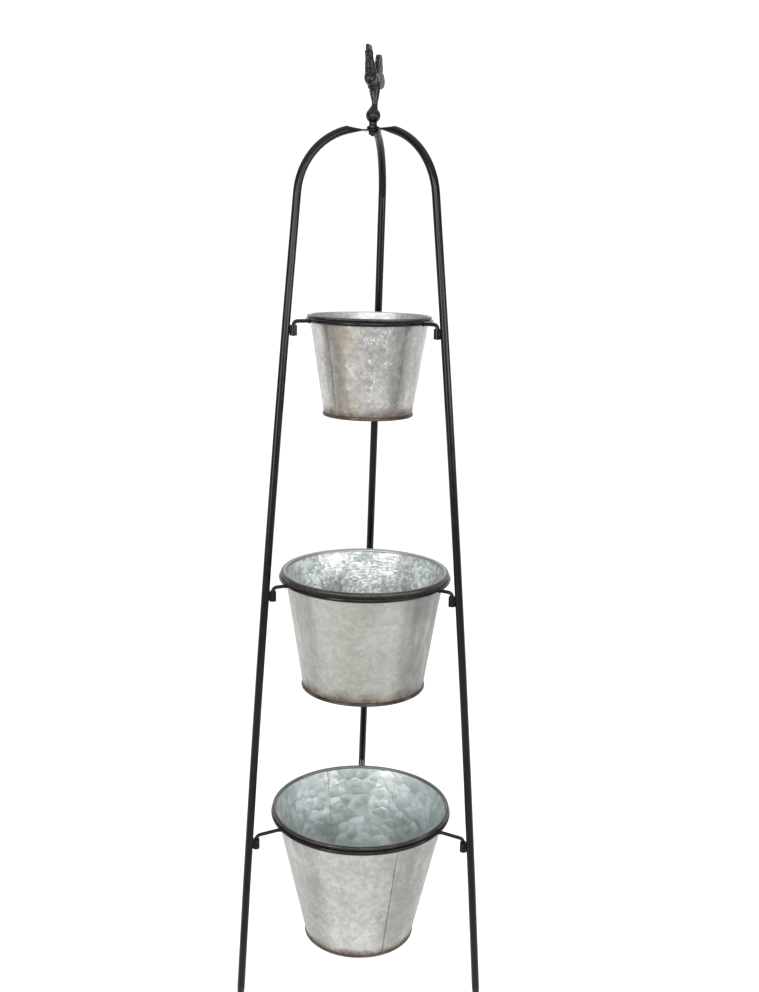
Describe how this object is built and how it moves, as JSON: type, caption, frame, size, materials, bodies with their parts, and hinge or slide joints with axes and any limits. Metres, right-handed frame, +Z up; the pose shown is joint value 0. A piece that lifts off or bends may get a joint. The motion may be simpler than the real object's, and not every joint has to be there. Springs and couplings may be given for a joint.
{
  "type": "tiered plant stand",
  "caption": "Tall tripod plant stand in black tube steel, with tapered galvanised buckets hanging by their rims in lift-out rod hoops under a cockerel finial.",
  "frame": {"origin": "on the floor, at the middle of the rectangle that the stand covers seen from above; the stand's own axis passes through x = -3.6 mm, y = -40.9 mm", "axes": "+Z up along the stand's axis; -Y is the front, with one leg at the rear and one at each side"},
  "size_m": [0.4087, 0.39, 1.5463],
  "materials": {
    "black_steel": "satin black powder coat",
    "black_plastic": "matt black moulding",
    "black_fixings": "black painted fastener",
    "black_casting": "black painted casting, slightly grainy",
    "galvanised_sheet": "hot-dip galvanised with spangle, slightly weathered",
    "burnished_edge": "dark burnished brown, slightly rusty",
    "rim_wire": "plain drawn wire"
  },
  "bodies": {
    "stand": {"leg_left": "black_steel", "leg_right": "black_steel", "leg_rear": "black_steel", "foot_tip_left": "black_plastic", "foot_tip_right": "black_plastic", "foot_tip_rear": "black_plastic", "socket_top_left": "black_steel", "socket_top_right": "black_steel", "socket_top_rear": "black_steel", "socket_middle_left": "black_steel", "socket_middle_right": "black_steel", "socket_middle_rear": "black_steel", "socket_bottom_left": "black_steel", "socket_bottom_right": "black_steel", "socket_bottom_rear": "black_steel", "hub_nut": "black_fixings"},
    "finial": {"finial_stud": "black_fixings", "finial_collar": "black_casting", "finial_ball": "black_casting", "cockerel": "black_casting"},
    "ring_top": {"hoop_top": "black_steel", "arm_top_left": "black_steel", "arm_top_right": "black_steel", "arm_top_rear": "black_steel"},
    "ring_middle": {"hoop_middle": "black_steel", "arm_middle_left": "black_steel", "arm_middle_right": "black_steel", "arm_middle_rear": "black_steel"},
    "ring_bottom": {"hoop_bottom": "black_steel", "arm_bottom_left": "black_steel", "arm_bottom_right": "black_steel", "arm_bottom_rear": "black_steel"},
    "bucket_top": {"bucket_top_shell_front": "galvanised_sheet", "bucket_top_shell_rear": "galvanised_sheet", "bucket_top_rim": "burnished_edge", "bucket_top_rim_wire": "rim_wire", "bucket_top_base": "galvanised_sheet", "bucket_top_base_ring": "burnished_edge"},
    "bucket_middle": {"bucket_middle_shell_front": "galvanised_sheet", "bucket_middle_shell_rear": "galvanised_sheet", "bucket_middle_rim": "burnished_edge", "bucket_middle_rim_wire": "rim_wire", "bucket_middle_base": "galvanised_sheet", "bucket_middle_base_ring": "burnished_edge"},
    "bucket_bottom": {"bucket_bottom_shell_front": "galvanised_sheet", "bucket_bottom_shell_rear": "galvanised_sheet", "bucket_bottom_rim": "burnished_edge", "bucket_bottom_rim_wire": "rim_wire", "bucket_bottom_base": "galvanised_sheet", "bucket_bottom_base_ring": "burnished_edge"}
  },
  "joints": [
    {"name": "finial_turn", "type": "hinge", "parent": "stand", "child": "finial", "pos_m": [-0.00362, -0.04087, 1.44], "axis": [0, 0, 1], "continuous": true},
    {"name": "ring_top_lift", "type": "slide", "parent": "stand", "child": "ring_top", "axis": [0, 0, 1], "range_m": [0, 0.02]},
    {"name": "ring_middle_lift", "type": "slide", "parent": "stand", "child": "ring_middle", "axis": [0, 0, 1], "range_m": [0, 0.02]},
    {"name": "ring_bottom_lift", "type": "slide", "parent": "stand", "child": "ring_bottom", "axis": [0, 0, 1], "range_m": [0, 0.02]},
    {"name": "bucket_top_lift", "type": "slide", "parent": "ring_top", "child": "bucket_top", "axis": [0, 0, 1], "range_m": [0, 0.165]},
    {"name": "bucket_middle_lift", "type": "slide", "parent": "ring_middle", "child": "bucket_middle", "axis": [0, 0, 1], "range_m": [0, 0.2]},
    {"name": "bucket_bottom_lift", "type": "slide", "parent": "ring_bottom", "child": "bucket_bottom", "axis": [0, 0, 1], "range_m": [0, 0.19]}
  ]
}
